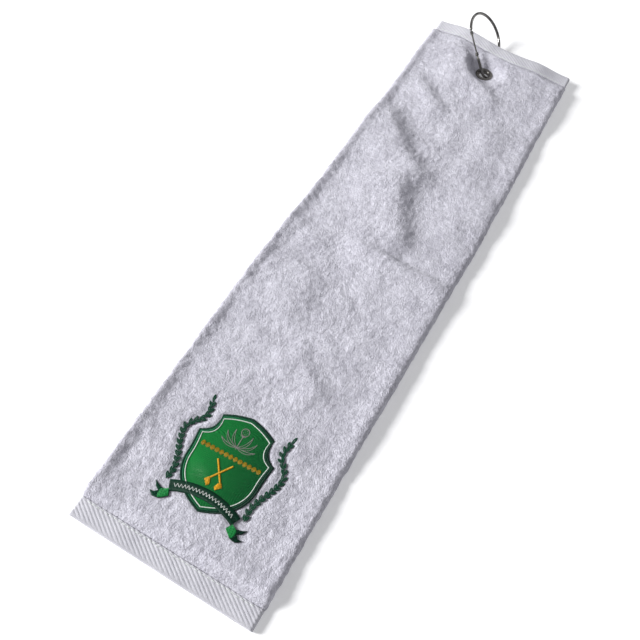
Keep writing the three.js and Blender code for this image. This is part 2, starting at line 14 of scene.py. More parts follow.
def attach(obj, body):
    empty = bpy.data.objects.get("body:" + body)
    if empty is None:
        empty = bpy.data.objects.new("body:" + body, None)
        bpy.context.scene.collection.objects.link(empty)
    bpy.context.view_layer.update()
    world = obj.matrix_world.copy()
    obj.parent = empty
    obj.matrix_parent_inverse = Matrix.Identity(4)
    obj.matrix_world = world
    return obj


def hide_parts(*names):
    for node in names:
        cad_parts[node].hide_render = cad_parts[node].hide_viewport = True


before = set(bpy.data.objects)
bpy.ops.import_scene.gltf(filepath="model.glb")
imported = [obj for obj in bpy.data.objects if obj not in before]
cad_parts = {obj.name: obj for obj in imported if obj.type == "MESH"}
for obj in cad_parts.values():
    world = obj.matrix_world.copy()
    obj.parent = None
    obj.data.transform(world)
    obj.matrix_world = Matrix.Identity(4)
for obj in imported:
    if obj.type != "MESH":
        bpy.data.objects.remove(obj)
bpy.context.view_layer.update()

MM = 0.001
RNG = np.random.default_rng(27)

# The folded towel, as in the CAD model but with hems nearly as wide as the terry
WIDTH = 143.0
LENGTH = 610.0
HALF_LENGTH = LENGTH / 2
SHEET = (0.406, 0.610)
HEM_HEIGHT = 15.0
TERRY = {"thickness": 2.8, "pitch": 3.1, "inset": 0.0, "edge": 8.3}
HEM = {"thickness": 1.5, "pitch": 1.8, "inset": 0.6, "edge": 0.0}
STACK = 2 * TERRY["pitch"] + TERRY["thickness"]

# How much further than that each side stands out, because the fold is loose
PLUMP = 3.0

# The hems' slanted ribs, and the stitches along each hem
RIB = {"slant": math.radians(32.8), "spacing": 2.46, "depth": 0.46}
HEM_STITCH = {"pitch": 3.4, "length": 2.9, "from_edge": 1.4, "radius": 0.22}

# Noise on the cloth, as (height, cell, seed): its creases and its pile
CREASES = ((1.4, 34, 3), (0.75, 15, 4), (0.2, 8, 5))
PILE = ((0.50, 2.3, 21), (0.20, 3.8, 22), (0.12, 7.5, 23))

# The eyelet
EYELET = np.array([-3.4, HALF_LENGTH - 50.7, 5.8])
BORE, FLARE, SHEET_METAL, RIM, HALF_HEIGHT = 5.0, 1.3, 0.4, 8.6, 2.3
PRESSED = 3.2
TERRY_HOLE = 6.45
EYELET_LIFT = EYELET[2] - PRESSED / 2
EDGE_LIFT = 9.2

# The hook
WIRE_RADIUS = 1.42
HOOK_LENGTH, HOOK_TOP, HOOK_END = 69.0, 23.5, 6.7
HOOK_TURN = (math.radians(30), math.radians(21), math.radians(36))
SEAT_ANGLE = math.radians(-33)
GATE_START, GATE_END = 20.0, 42.0

# The crest, turned a little on the towel
CREST = np.array([-0.5, -HALF_LENGTH + 84])
CREST_TURN = math.radians(2)
CREST_AXES = np.array([[math.cos(CREST_TURN), math.sin(CREST_TURN)],
                       [-math.sin(CREST_TURN), math.cos(CREST_TURN)]])
THREAD = 0.21
THREAD_PITCH = 0.43


def smoothstep(value, low, high):
    t = np.clip((np.asarray(value, float) - low) / (high - low), 0, 1)
    return t * t * (3 - 2 * t)


def noise(x, y, cell, seed):
    """Smooth noise from -1 to 1, with features about cell wide."""
    table = np.random.default_rng(seed).uniform(-1, 1, (256, 256))
    turn = 0.4 + 0.7 * seed
    u = (x * math.cos(turn) + y * math.sin(turn)) / cell + 500
    v = (y * math.cos(turn) - x * math.sin(turn)) / cell + 500
    i, j = np.floor(u).astype(int), np.floor(v).astype(int)
    a, b = smoothstep(u - i, 0, 1), smoothstep(v - j, 0, 1)
    at = lambda p, q: table[(i + p) % 256, (j + q) % 256]
    low = at(0, 0) * (1 - a) + at(1, 0) * a
    high = at(0, 1) * (1 - a) + at(1, 1) * a
    return low * (1 - b) + high * b


# Meshes


def new_piece(name, vertices, faces, material, body="towel", smooth=True):
    """A mesh object from points in millimetres, riding on a body."""
    mesh = bpy.data.meshes.new(name)
    mesh.from_pydata((np.asarray(vertices) * MM).tolist(), [], faces)
    mesh.validate()
    mesh.materials.append(material)
    if smooth:
        mesh.shade_smooth()
    piece = bpy.data.objects.new(name, mesh)
    bpy.context.scene.collection.objects.link(piece)
    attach(piece, body)
    return piece


def on_towel(points):
    """Places in the crest's own frame, as places on the towel."""
    return np.asarray(points, float) @ CREST_AXES + CREST


def on_crest(x, y):
    """Places on the towel, as x and y in the crest's own frame."""
    local = np.stack([x - CREST[0], y - CREST[1]], axis=-1) @ CREST_AXES.T
    return local[..., 0], local[..., 1]


def grid_faces(rows, columns, offset=0, closed=True):
    """Quads between rows of points, each row a ring if closed."""
    last = columns if closed else columns - 1
    r = np.arange(rows - 1)[:, None] * columns
    c = np.arange(last)[None, :]
    n = (c + 1) % columns
    quads = np.stack([r + c, r + n, r + columns + n, r + columns + c], axis=-1).reshape(-1, 4)
    return (quads + offset).tolist()


# Materials


class Nodes:
    """Short calls for building a material's node tree."""

    def __init__(self, name):
        self.material = bpy.data.materials.new(name)
        self.material.use_nodes = True
        self.tree = self.material.node_tree
        self.shader = self.tree.nodes["Principled BSDF"]
        self.place = self.tree.nodes.new("ShaderNodeTexCoord").outputs["Object"]

    def add(self, kind, inputs=(), **settings):
        node = self.tree.nodes.new(kind)
        for key, value in settings.items():
            setattr(node, key, value)
        for key, value in dict(inputs).items():
            if isinstance(value, bpy.types.NodeSocket):
                self.tree.links.new(value, node.inputs[key])
            else:
                node.inputs[key].default_value = value
        return node

    def noise(self, scale, detail=3.0, roughness=0.55, stretch=(1, 1, 1)):
        mapped = self.add("ShaderNodeMapping", {"Vector": self.place, "Scale": stretch})
        inputs = {"Vector": mapped.outputs[0], "Scale": scale, "Detail": detail, "Roughness": roughness}
        return self.add("ShaderNodeTexNoise", inputs).outputs["Fac"]

    def cells(self, scale):
        inputs = {"Vector": self.place, "Scale": scale}
        return self.add("ShaderNodeTexVoronoi", inputs).outputs["Distance"]

    def ramp(self, value, stops):
        node = self.add("ShaderNodeValToRGB", {"Fac": value})
        ramp = node.color_ramp
        while len(ramp.elements) < len(stops):
            ramp.elements.new(0.5)
        for element, (position, colour) in zip(ramp.elements, stops):
            element.position = position
            element.color = (*colour, 1)
        return node.outputs["Color"]

    def math(self, operation, a, b):
        return self.add("ShaderNodeMath", {0: a, 1: b}, operation=operation).outputs[0]

    def bump(self, height, distance, strength=1.0, after=None):
        inputs = {"Height": height, "Distance": distance, "Strength": strength}
        if after is not None:
            inputs["Normal"] = after
        return self.add("ShaderNodeBump", inputs).outputs["Normal"]

    def set(self, **inputs):
        for key, value in inputs.items():
            socket = self.shader.inputs[key.replace("_", " ")]
            if isinstance(value, bpy.types.NodeSocket):
                self.tree.links.new(value, socket)
            else:
                socket.default_value = value
        return self.material


def terry_material():
    n = Nodes("terry")
    patches = n.noise(65, 4, 0.6)
    tufts = n.noise(330, 3, 0.6)
    loops = n.noise(1000, 3, 0.65)
    mixed = n.math("ADD", n.math("MULTIPLY", patches, 0.3), n.math("MULTIPLY", tufts, 0.4))
    mixed = n.math("ADD", mixed, n.math("MULTIPLY", loops, 0.3))
    colour = n.ramp(mixed, [(0.36, (0.43, 0.42, 0.485)), (0.62, (0.76, 0.75, 0.83))])
    rough = n.math("ADD", n.math("MULTIPLY", loops, 0.12), 0.86)
    fine = n.bump(n.noise(1700, 2), 0.0008, 1.0)
    clumps = n.bump(n.noise(680, 3, 0.6), 0.0015, 1.0, after=fine)
    return n.set(
        Base_Color=colour, Roughness=rough, Normal=clumps, Sheen_Weight=0.25, Sheen_Roughness=0.45,
        Specular_IOR_Level=0.15,
    )


def hem_material():
    n = Nodes("hem_twill")
    yarns = n.noise(1500, 2, 0.5, stretch=(1, 3, 1))
    patches = n.noise(60, 3)
    both = n.math("ADD", n.math("MULTIPLY", patches, 0.4), n.math("MULTIPLY", yarns, 0.6))
    colour = n.ramp(both, [(0.3, (0.44, 0.435, 0.48)), (0.65, (0.66, 0.655, 0.70))])
    rough = n.math("ADD", n.math("MULTIPLY", yarns, 0.15), 0.78)
    normal = n.bump(yarns, 0.0005, 0.8)
    return n.set(
        Base_Color=colour, Roughness=rough, Normal=normal, Sheen_Weight=0.15, Sheen_Roughness=0.4,
        Specular_IOR_Level=0.2,
    )


def thread_material(name, dark, light, roughness=0.38, painted_shade=0.0):
    """Thread between two shades, with painted shade that darkens it towards the crest's right side, away
    from the light on the left, when its amount is above 0.
    """
    n = Nodes(name)
    strands = n.noise(2600, 2, 0.5)
    patches = n.noise(1100, 3, 0.75)
    shade = n.math("ADD", n.math("MULTIPLY", strands, 0.4), n.math("MULTIPLY", patches, 0.6))
    # Painted shade: the colour darkens across the crest towards its right side, standing in for the light
    # falling from the left.
    across = n.add("ShaderNodeSeparateXYZ", {"Vector": n.place}).outputs["X"]
    painted_shade_ramp = n.add("ShaderNodeMapRange", {"Value": across, "From Min": -0.03, "From Max": 0.03})
    shade = n.math("SUBTRACT", shade, n.math("MULTIPLY", painted_shade_ramp.outputs[0], painted_shade))
    colour = n.ramp(shade, [(0.34 - painted_shade * 0.8, dark), (0.66 - painted_shade * 0.2, light)])
    rough = n.math("ADD", n.math("MULTIPLY", strands, 0.2), roughness - 0.1)
    normal = n.bump(strands, 0.00008, 0.6)
    return n.set(
        Base_Color=colour, Roughness=rough, Normal=normal, Specular_IOR_Level=0.25,
    )


def metal_material(name, dark, light, roughness):
    n = Nodes(name)
    wear = n.noise(260, 4, 0.6)
    scratches = n.noise(1800, 2, 0.5, stretch=(1, 0.15, 1))
    colour = n.ramp(wear, [(0.3, dark), (0.7, light)])
    rough = n.math("ADD", n.math("MULTIPLY", scratches, 0.16), roughness - 0.06)
    normal = n.bump(scratches, 0.00003, 0.35)
    return n.set(Base_Color=colour, Roughness=rough, Normal=normal, Metallic=1.0)


def backing_material():
    n = Nodes("backing")
    fibres = n.noise(700, 4, 0.7)
    colour = n.ramp(fibres, [(0.3, (0.62, 0.62, 0.61)), (0.7, (0.82, 0.82, 0.80))])
    return n.set(Base_Color=colour, Roughness=0.9, Normal=n.bump(fibres, 0.0002, 0.6))


TERRY_MATERIAL = terry_material()
HEM_MATERIAL = hem_material()
# The shield's greens carry painted shade that darkens them towards the crest's right side.
GREEN = thread_material("thread_green", (0.001, 0.045, 0.016), (0.01, 0.27, 0.05), painted_shade=0.35)
DARK_GREEN = thread_material("thread_dark_green", (0.0008, 0.016, 0.009), (0.002, 0.055, 0.026), painted_shade=0.2)
BORDER_GREEN = thread_material("thread_border_green", (0.001, 0.03, 0.015), (0.012, 0.19, 0.07), painted_shade=0.5)
LEAF_GREEN = thread_material("thread_leaf_green", (0.0008, 0.022, 0.012), (0.008, 0.095, 0.045))
BRIGHT_GREEN = thread_material("thread_bright_green", (0.005, 0.16, 0.03), (0.02, 0.34, 0.08))
WHITE = thread_material("thread_white", (0.55, 0.60, 0.56), (0.84, 0.87, 0.84), 0.5)
SILVER = thread_material("thread_silver", (0.20, 0.17, 0.17), (0.42, 0.38, 0.38))
GOLD = thread_material("thread_gold", (0.48, 0.22, 0.008), (0.82, 0.46, 0.03))
DARK_GOLD = thread_material("thread_dark_gold", (0.17, 0.11, 0.006), (0.42, 0.27, 0.015))
EYELET_METAL = metal_material("eyelet_metal", (0.10, 0.095, 0.09), (0.20, 0.19, 0.18), 0.28)
HOOK_METAL = metal_material("hook_metal", (0.15, 0.145, 0.14), (0.28, 0.27, 0.255), 0.16)
BACKING = backing_material()


# The towel's shape


def along_line(x, y, points):
    """For each place, the signed distance from a line of points (positive to its right going along
    it) and how far along the line it is, from 0 to 1."""
    points = np.asarray(points, float)
    steps = np.hypot(*np.diff(points, axis=0).T)
    done = np.concatenate([[0], np.cumsum(steps)])
    best = np.full(np.shape(x), np.inf)
    signed = np.zeros(np.shape(x))
    share = np.zeros(np.shape(x))
    for k, ((x0, y0), (x1, y1)) in enumerate(zip(points[:-1], points[1:])):
        ux, uy = (x1 - x0) / steps[k], (y1 - y0) / steps[k]
        t = (x - x0) * ux + (y - y0) * uy
        t_in = np.clip(t, 0, steps[k])
        distance = np.hypot(x - x0 - t_in * ux, y - y0 - t_in * uy)
        side = np.sign((x - x0) * uy - (y - y0) * ux)
        closer = distance < best
        best = np.where(closer, distance, best)
        signed = np.where(closer, distance * side, signed)
        share = np.where(closer, (done[k] + t_in) / done[-1], share)
    return signed, share


def ridge(x, y, points, height, right, left):
    """A soft ridge along a line, right and left wide on its two sides, fading out at its ends."""
    signed, share = along_line(x, y, points)
    width = np.where(signed > 0, right, left)
    fade = smoothstep(share, 0, 0.25) * (1 - smoothstep(share, 0.75, 1))
    return height * fade * np.exp(-((signed / width) ** 2))


# Each fold of the cloth: the line of its crest, its height, and its width to the right and left of it
RIDGES = [
    ([(-76, 162), (-58, 146), (-30, 112), (2, 88), (20, 80)], 7.0, 36, 13),
    ([(-26, 88), (-8, 58), (8, 30), (24, 2)], 7.0, 36, 14),
    ([(-66, 216), (-46, 200), (-24, 182), (-8, 174)], 4.0, 18, 9),
    ([(-44, 287), (-36, 264), (-20, 240), (13, 220), (38, 212)], 5.0, 26, 9),
    ([(-26, -6), (20, -5), (50, -5), (76, -3)], 4.2, 17, 6),
    ([(-78, -6), (-68, -9), (-54, -14)], 2.2, 13, 6),
    ([(-16, -116), (8, -130), (38, -152)], 3.6, 22, 11),
    ([(20, 205), (34, 180), (38, 140), (34, 100)], 2.6, 14, 13),
    ([(68, 120), (48, 60), (52, 20)], 2.4, 16, 10),
    ([(-34, -35), (-30, -70), (-28, -112)], 3.4, 24, 13),
]


def lift(x, y):
    to_eyelet = EYELET_LIFT * smoothstep(y, EYELET[1] - 60, EYELET[1] - 10)
    to_edge = (EDGE_LIFT - EYELET_LIFT) * np.clip((y - EYELET[1] - 12) / 35, 0, 1)
    sides = 1 - 0.65 * smoothstep(np.abs(x - EYELET[0]), 36, 70)
    return (to_eyelet + to_edge) * sides


def press(x, y):
    from_eyelet = np.hypot(x - EYELET[0], y - EYELET[1])
    near_eyelet = PRESSED / STACK + (1 - PRESSED / STACK) * smoothstep(from_eyelet, 8.5, 25)
    near_hem = 1 - 0.46 * smoothstep(np.abs(y), HALF_LENGTH - 25, HALF_LENGTH - HEM_HEIGHT)
    return near_eyelet * near_hem


def folds(x, y):
    """How far the front panel stands above its flat height."""
    height = sum(ridge(x, y, *entry) for entry in RIDGES)
    height = height + 2.6 * np.exp(-(((x + 69) / 5) ** 2)) * smoothstep(y, -300, -260)
    height = height + 0.8 * np.exp(-(((x - 64) / 6) ** 2))
    for size, cell, seed in CREASES:
        height = height + size * noise(x, y, cell, seed)
    near_crest = 1 - smoothstep(np.hypot((x - CREST[0]) / 44, (y - CREST[1]) / 52), 0.85, 1.25)
    near_eyelet = 1 - smoothstep(np.hypot(x - EYELET[0], y - EYELET[1]), 9, 20)
    near_hem = smoothstep(np.abs(y), HALF_LENGTH - 24, HALF_LENGTH - HEM_HEIGHT)
    return height * (1 - 0.8 * near_crest) * (1 - near_eyelet) * (1 - 0.7 * near_hem)


def front_height(x, y):
    """The front panel's upper surface, without its pile."""
    return lift(x, y) + STACK * press(x, y) + folds(x, y)


def sway(x, y):
    """How the folded towel's outline departs from a straight rectangle, as (dx, dy)."""
    left = smoothstep(-x, 25, 70)
    right = smoothstep(x, 25, 70)
    bulge = 3.2 * np.exp(-(((y + 70) / 115) ** 2)) + 0.5 * noise(0 * x, y, 40, 8)
    right_bulge = 3.7 * np.exp(-(((y - 40) / 210) ** 2)) + 0.5 * noise(0 * x, y, 45, 9)
    dx = right * (PLUMP + right_bulge) - left * (PLUMP + bulge)
    toward_edge = smoothstep(y, EYELET[1], HALF_LENGTH)
    dip = 9.5 * np.exp(-(((x - 10) / 42) ** 2))
    dy = -toward_edge * (3.2 + dip) - 1.4 * smoothstep(-y, 250, 290)
    return dx, dy


def arc(centre_x, centre_y, radius, start, end, steps):
    angles = np.linspace(start, end, steps + 1)
    return np.stack([centre_x + radius * np.cos(angles), centre_y + radius * np.sin(angles)], axis=1)


def fold_plan(layer):
    half = WIDTH / 2 - layer["inset"] - layer["thickness"] / 2
    right, left = half - layer["pitch"], -(half - layer["pitch"] / 2)
    folded = math.pi * 1.5 * TERRY["pitch"]
    flap = (SHEET[0] / MM - WIDTH - folded) / 2 + 4
    return right, left, right - flap + layer["edge"], left + flap - layer["edge"]


def folded_section(layer, fine):
    """The folded sheet's closed outline: rows of (x, h of the layer's middle, x and h offsets to the
    surface), going round it once, with fine spacing on the front, and how many rows are outside."""
    right, left, back_edge, middle_edge = fold_plan(layer)
    half, pitch = layer["thickness"] / 2, layer["pitch"]
    level = [half + k * pitch for k in (0, 1, 1.5, 2)]
    quarter = math.pi / 2

    def flat(start, end, h, up, spacing):
        steps = max(2, round(abs(end - start) / spacing))
        x = np.linspace(start, end, steps + 1)
        return np.stack([x, np.full_like(x, h), 0 * x, np.full_like(x, up * half)], axis=1)

    def bend(x, h, radius, side, start, end, steps):
        angles = np.linspace(start, end, steps + 1)[1:-1]
        c, s = np.cos(angles), np.sin(angles)
        return np.stack([x + radius * c, h + radius * s, side * half * c, side * half * s], axis=1)

    outer = np.concatenate([
        flat(back_edge, right, level[0], -1, 4),
        bend(right, level[1], pitch, 1, -quarter, quarter, 13),
        flat(right, left, level[3], 1, fine),
        bend(left, level[2], pitch / 2, 1, quarter, 3 * quarter, 9),
        flat(left, middle_edge, level[1], -1, 8),
    ])
    inner = np.concatenate([
        flat(middle_edge, left, level[1], 1, 8),
        bend(left, level[2], pitch / 2, -1, 3 * quarter, quarter, 5),
        flat(left, right, level[3], -1, 8),
        bend(right, level[1], pitch, -1, quarter, -quarter, 7),
        flat(right, back_edge, level[0], 1, 8),
    ])
    return np.concatenate([outer, inner]), len(outer)


def strip_section(low_x, high_x, low_h, thickness, spacing):
    half = thickness / 2
    steps = max(2, round((high_x - low_x) / spacing))
    x = np.linspace(low_x, high_x, steps + 1)
    top = np.stack([x[::-1], 0 * x + low_h + half, 0 * x, 0 * x + half], axis=1)
    bottom = np.stack([x, 0 * x + low_h + half, 0 * x, 0 * x - half], axis=1)
    quarter = math.pi / 2
    ends = []
    for centre, start in ((high_x, -quarter), (low_x, quarter)):
        angles = np.linspace(start, start + math.pi, 6)[1:-1]
        c, s = half * np.cos(angles), half * np.sin(angles)
        ends.append(np.stack([0 * c + centre, 0 * c + low_h + half, c, s], axis=1))
    return np.concatenate([bottom, ends[0], top, ends[1]])


def cap_faces(section, outer_count, offset):
    """Triangles between a folded section's outer line and its inner line, which goes back along it."""
    count = len(section)
    outer, inner = list(range(outer_count)), list(range(outer_count, count))[::-1]

    def shares(line):
        steps = np.hypot(*np.diff(section[line, :2], axis=0).T)
        done = np.concatenate([[0], np.cumsum(steps)])
        return done / done[-1]

    outer_share, inner_share = shares(outer), shares(inner)
    faces, i, j = [], 0, 0
    while i + 1 < len(outer) or j + 1 < len(inner):
        on_outer = j + 1 == len(inner) or (
            i + 1 < len(outer) and outer_share[i + 1] <= inner_share[j + 1])
        if on_outer:
            faces.append([outer[i] + offset, outer[i + 1] + offset, inner[j] + offset])
            i += 1
        else:
            faces.append([outer[i] + offset, inner[j + 1] + offset, inner[j] + offset])
            j += 1
    return faces


def swept_cloth(section, ys, pinch, press_at, pile=None, outer_count=None):
    """Points of a section swept along Y over the towel's real shape, with its end caps' faces."""
    y = np.asarray(ys)[:, None]
    x = section[None, :, 0] + section[None, :, 2] * pinch[:, None]
    h = section[None, :, 1] + section[None, :, 3] * pinch[:, None]
    x, y = np.broadcast_arrays(x, y)
    dx, dy = sway(x, y)
    upper = smoothstep(h, STACK * 0.25, STACK * 0.8)
    z = lift(x, y) + h * press_at(x, y) + folds(x, y) * upper
    points = np.stack([x + dx, y + dy, z], axis=2)
    if pile is not None:
        points = points + pile(section, y, points)
    rows, columns = points.shape[:2]
    faces = grid_faces(rows, columns)
    faces = [face[::-1] for face in faces]
    last = (rows - 1) * columns
    if outer_count:
        far = [face[::-1] for face in cap_faces(section, outer_count, last)]
        return points.reshape(-1, 3), faces + cap_faces(section, outer_count, 0) + far
    caps = [list(range(columns)), list(range(last, rows * columns))[::-1]]
    return points.reshape(-1, 3), faces + caps


# Half of the shield's outline: its top, then each curve's control point and end
SHIELD_TOP = (0, 37.6)
SHIELD_CURVES = [
    ((11.5, 35.8), (21.5, 30.1)),
    ((19.5, 17), (31.2, 12.2)),
    ((29.6, 0), (29.6, -8)),
    ((29, -25.5), (12, -35)),
    ((7, -37.6), (0, -40)),
]


def shield_outline(steps=10):
    t = np.linspace(0, 1, steps + 1)[1:, None]
    start = np.array(SHIELD_TOP, float)
    half = [start[None]]
    for control, end in SHIELD_CURVES:
        control, end = np.array(control, float), np.array(end, float)
        half.append(start * (1 - t) ** 2 + 2 * control * t * (1 - t) + end * t * t)
        start = end
    half = np.concatenate(half)
    left = half[1:-1][::-1] * (-1, 1)
    return np.concatenate([half, left])[::-1]


def main_cloth():
    """The terry, its hems and the stitches that hold them."""
    terry_end = HALF_LENGTH - HEM_HEIGHT - 0.1
    section, outer_count = folded_section(TERRY, 1.3)
    steps = round(2 * terry_end / 1.42)
    ys = np.linspace(-terry_end, terry_end, steps + 1)
    pinch = np.where(np.abs(ys) > terry_end - 0.01, 0.5, 1.0)
    along = np.concatenate([[0], np.cumsum(np.hypot(*np.diff(section[:, :2] + section[:, 2:], axis=0).T))])

    def pile(section_rows, y, points):
        s = np.broadcast_to(along[None, :], y.shape)
        tufts = sum(size * noise(s, y, cell, seed) for size, cell, seed in PILE)
        length = np.hypot(section_rows[:, 2], section_rows[:, 3])
        direction = section_rows[:, 2:] / length[:, None]
        near_hem = smoothstep(np.abs(y), HALF_LENGTH - 22, HALF_LENGTH - HEM_HEIGHT)
        push = tufts * (1 - 0.5 * near_hem) - 0.1
        places = points[..., 0], points[..., 1]
        top = (section_rows[:, 3] > 0.5) & (section_rows[:, 1] > STACK * 0.6)
        sunk = crest_mask(*on_crest(*places)) * top[None, :]
        push = push * (1 - sunk) - 1.0 * sunk
        push = push * smoothstep(np.hypot(places[0] - EYELET[0], places[1] - EYELET[1]), RIM - 0.5, RIM + 3)
        result = np.zeros(points.shape)
        result[..., 0] = push * direction[None, :, 0]
        result[..., 2] = push * direction[None, :, 1]
        result[..., 2] = np.maximum(result[..., 2], 0.02 - points[..., 2])
        return result

    vertices, faces = swept_cloth(section, ys, pinch, press, pile, outer_count)
    terry = new_piece("terry", vertices, faces, TERRY_MATERIAL)
    pierce(terry)
    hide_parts("terry_cloth")

    hem_section = folded_section(HEM, 0.4)
    for end, side in (("top", 1), ("bottom", -1)):
        hem_piece(end, side, *hem_section)
        hem_stitches(end, side)
    _, _, back_edge, middle_edge = fold_plan(TERRY)
    overlap = 0.3
    strips = (
        ("back_flap_hem", back_edge - TERRY["edge"] + 1.2, back_edge - overlap, 0.0),
        ("middle_flap_hem", middle_edge + overlap, middle_edge + TERRY["edge"] - 1.2, TERRY["pitch"]),
    )
    coarse = np.linspace(-terry_end, terry_end, 150)
    for name, low_x, high_x, low_h in strips:
        strip = strip_section(low_x, high_x, low_h, 2.4, 1.5)
        vertices, faces = swept_cloth(strip, coarse, np.ones(len(coarse)), press)
        piece = new_piece(name + "_cloth", vertices, faces, HEM_MATERIAL)
        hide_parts(name)


def pierce(terry):
    """Cut the eyelet's hole through all the layers."""
    count = 64
    circle = arc(EYELET[0], EYELET[1], TERRY_HOLE, 0, 2 * math.pi, count)[:-1]
    rings = [np.column_stack([circle, np.full(count, z)]) for z in (-5.0, 30.0)]
    mesh = bpy.data.meshes.new("hole")
    faces = grid_faces(2, count) + [list(range(count))[::-1], list(range(count, 2 * count))]
    mesh.from_pydata((np.concatenate(rings) * MM).tolist(), [], faces)
    cutter = bpy.data.objects.new("hole", mesh)
    bpy.context.scene.collection.objects.link(cutter)
    cut = terry.modifiers.new("hole", "BOOLEAN")
    cut.operation = "DIFFERENCE"
    cut.object = cutter
    cut.solver = "MANIFOLD"
    apply_modifiers(terry)
    bpy.data.objects.remove(cutter)


def apply_modifiers(piece):
    graph = bpy.context.evaluated_depsgraph_get()
    mesh = bpy.data.meshes.new_from_object(piece.evaluated_get(graph))
    piece.modifiers.clear()
    piece.data = mesh


def unpressed(x, y):
    return np.ones(np.shape(x))


def hem_piece(end, side, section, outer_count):
    inner = HALF_LENGTH - HEM_HEIGHT
    turn = HEM["thickness"] / 2
    rows = np.arange(inner, HALF_LENGTH - turn, 0.4)
    round_end = HALF_LENGTH - turn + turn * np.sin(np.linspace(0, math.pi / 2, 6))
    ys = np.concatenate([rows, round_end])
    pinch = np.concatenate([np.ones(len(rows)), np.cos(np.linspace(0, math.pi / 2, 6) * 0.97)])
    ys, pinch = (side * ys, pinch) if side > 0 else (-ys[::-1], pinch[::-1])

    def ribs(section_rows, y, points):
        x = points[..., 0]
        across_ribs = x * math.sin(RIB["slant"]) + points[..., 1] * math.cos(RIB["slant"])
        phase = across_ribs / RIB["spacing"]
        cord = np.abs(np.sin(math.pi * phase)) ** 0.8
        outer = (section_rows[:, 3] > 0.2) & (section_rows[:, 1] > 1.5 * HEM["pitch"])
        shown = outer[None, :] * smoothstep(HALF_LENGTH - np.abs(y), 0.2, 4.0)
        wander = 0.06 * noise(x, points[..., 1], 1.1, 31)
        result = np.zeros(points.shape)
        result[..., 2] = shown * (RIB["depth"] * (cord - 0.6) + wander)
        return result

    vertices, faces = swept_cloth(section, ys, pinch, unpressed, ribs, outer_count)
    piece = new_piece(f"{end}_hem_twill", vertices, faces, HEM_MATERIAL)
    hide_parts(f"{end}_hem")
    return piece


# Thread


def thread_points(starts, ends, base, radius, arch):
    """Round stitches from starts to ends (N by 2), each one a closed bar whose ends dip into the cloth.
    base is the height under each end, as N by 2."""
    starts, ends = np.asarray(starts, float), np.asarray(ends, float)
    count = len(starts)
    direction = ends - starts
    length = np.hypot(*direction.T)[:, None]
    direction = direction / np.maximum(length, 1e-6)
    side = np.stack([direction[:, 1], -direction[:, 0]], axis=1)
    t = np.array([0, 0.12, 0.5, 0.88, 1])
    rise = np.array([-0.9, 0.55, 1, 0.55, -0.9])
    size = np.array([0.5, 1, 1, 1, 0.5])
    sides = 6
    angle = np.arange(sides) * 2 * math.pi / sides + math.pi / 6
    radii = radius * (1 + 0.08 * RNG.standard_normal(count))
    lifted = arch * (1 + 0.25 * RNG.standard_normal(count))
    wander = 0.15 * radius * RNG.standard_normal(count)
    middle = starts[:, None, :] + t[None, :, None] * (ends - starts)[:, None, :]
    middle = middle + (side * wander[:, None])[:, None, :]
    across = radii[:, None, None] * size[None, :, None] * np.cos(angle)[None, None, :]
    up = radii[:, None, None] * size[None, :, None] * np.sin(angle)[None, None, :]
    floor = base[:, 0:1] * (1 - t) + base[:, 1:2] * t
    height = floor + lifted[:, None] * rise[None, :] + radius * 0.2
    points = np.empty((count, 5, sides, 3))
    points[..., 0] = middle[:, :, None, 0] + side[:, None, None, 0] * across
    points[..., 1] = middle[:, :, None, 1] + side[:, None, None, 1] * across
    points[..., 2] = height[:, :, None] + up
    one = np.array(grid_faces(5, sides))
    stride = 5 * sides
    quads = (one[None] + (np.arange(count) * stride)[:, None, None]).reshape(-1, 4).tolist()
    first = [list(range(k * stride, k * stride + sides))[::-1] for k in range(count)]
    last = [list(range(k * stride + 4 * sides, k * stride + 5 * sides)) for k in range(count)]
    return points.reshape(-1, 3), quads + first + last


def plate_points(outer, inner, low, high):
    """A thin plate, or a flat ring if it has an inner outline with as many points."""
    count = len(outer)
    if inner is None:
        rings = [(outer, low), (outer, high)]
        points = np.concatenate([np.column_stack([r, np.full(count, z)]) for r, z in rings])
        walls = grid_faces(2, count)
        return points, walls + [list(range(count))[::-1], list(range(count, 2 * count))]
    rings = [(outer, low), (outer, high), (inner, high), (inner, low), (outer, low)]
    points = np.concatenate([np.column_stack([r, np.full(count, z)]) for r, z in rings[:4]])
    faces = []
    for k in range(4):
        a, b = k * count, ((k + 1) % 4) * count
        faces += [[a + i, a + (i + 1) % count, b + (i + 1) % count, b + i] for i in range(count)]
    return points, faces


def merge(parts):
    points, faces, start = [], [], 0
    for part_points, part_faces in parts:
        points.append(part_points)
        faces += [[i + start for i in face] for face in part_faces]
        start += len(part_points)
    return np.concatenate(points), faces


def crest_height(x, y, level):
    """Height of a layer of thread over the front panel, at places in the crest's own frame."""
    places = on_towel(np.stack([x, y], axis=-1))
    return front_height(places[..., 0], places[..., 1]) + level


def embroider(name, node, stitches, material, level, arch=0.16, radius=THREAD, plates=()):
    """A piece of embroidery: stitches, as rows of (x0, y0, x1, y1), over thin plates of underlay."""
    stitches = np.asarray(stitches, float)
    starts, ends = stitches[:, :2], stitches[:, 2:]
    base = np.stack([crest_height(*starts.T, level), crest_height(*ends.T, level)], axis=1)
    parts = [thread_points(starts, ends, base, radius, arch)]
    for outer, inner in plates:
        points, faces = plate_points(outer, inner, -0.8, -0.02)
        points[:, 2] += crest_height(points[:, 0], points[:, 1], level)
        parts.append((points, faces))
    points, faces = merge(parts)
    points[:, :2] = on_towel(points[:, :2])
    piece = new_piece(name, points, faces, material)
    if node:
        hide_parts(node)
    return piece


def inset(points, distance):
    return points * (1 - distance / np.hypot(*points.T))[:, None]


